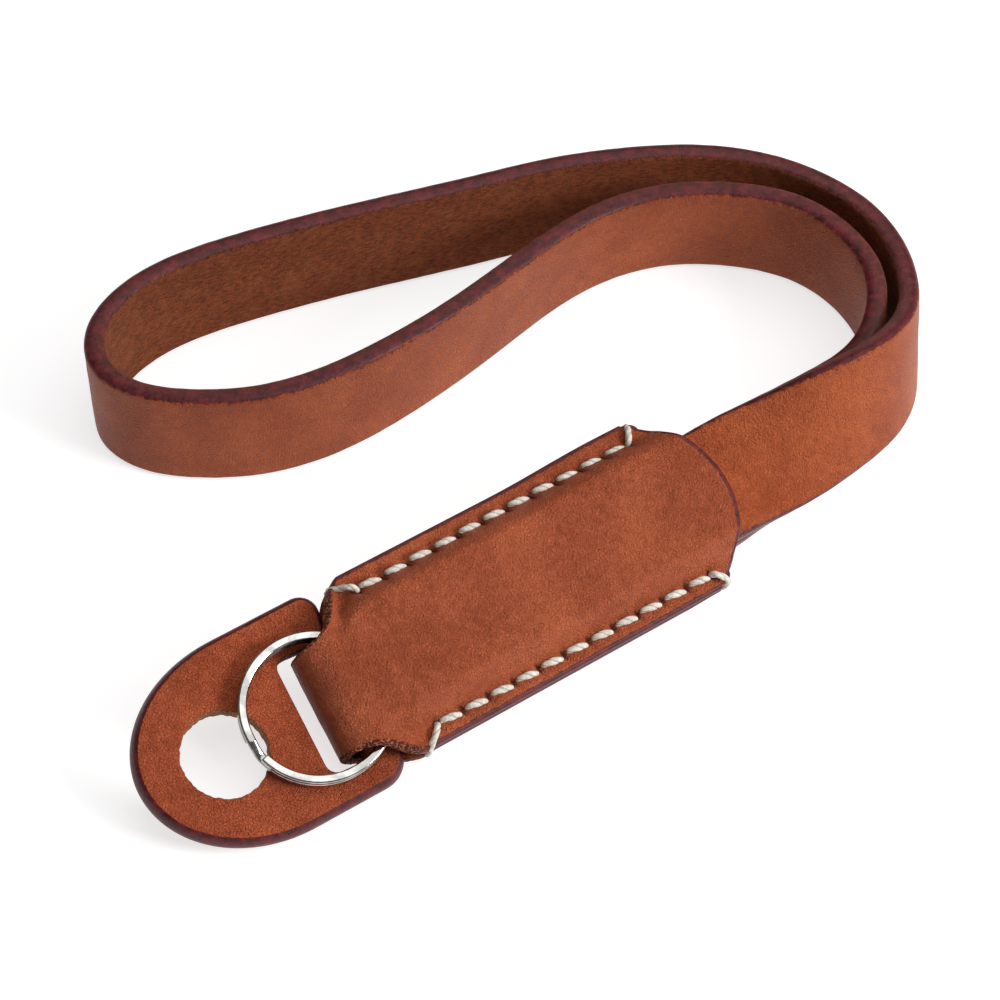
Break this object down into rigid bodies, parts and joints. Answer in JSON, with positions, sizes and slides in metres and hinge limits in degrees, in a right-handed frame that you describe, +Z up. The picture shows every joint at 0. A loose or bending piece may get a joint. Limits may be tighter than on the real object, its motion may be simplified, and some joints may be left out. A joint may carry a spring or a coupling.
{
  "type": "wristlet keychain",
  "caption": "Leather wrist loop on a stitched sleeve with a metal split ring and a slotted, round-holed leather protector pad.",
  "frame": {"origin": "centre of the bounding box on the plane the keychain lies on", "axes": "+X along the loop's long side, from its rounded turn towards the sleeve's mouth side; +Y across the lying loop, away from the ring end; +Z up from the table, along the strap's standing width"},
  "size_m": [0.0938, 0.091, 0.0153],
  "materials": {
    "strap_leather": "smooth vegetable-tanned grain, suede flesh side, burgundy painted edges",
    "sleeve_leather": "smooth grain, satin",
    "pad_leather": "smooth grain, satin",
    "thread": "waxed linen thread",
    "nickel": "polished nickel plate"
  },
  "bodies": {
    "strap_and_sleeve": {"loop_strap": "strap_leather", "sleeve_cover": "sleeve_leather", "stitch_thread_far": "thread", "stitch_thread_near": "thread", "pad_tab": "pad_leather"},
    "ring": {"split_ring": "nickel"},
    "pad": {"pad_flap": "pad_leather"}
  },
  "joints": [
    {"name": "ring_swing", "type": "hinge", "parent": "strap_and_sleeve", "child": "ring", "pos_m": [-0.01663, -0.02969, 0.00598], "axis": [-0.4622, 0.8042, 0.3737], "range_deg": [0, 18]},
    {"name": "pad_flex", "type": "hinge", "parent": "strap_and_sleeve", "child": "pad", "pos_m": [-0.02075, -0.03066, 0.00449], "axis": [-0.5212, 0.7669, 0.3746], "range_deg": [-35, 0]}
  ]
}
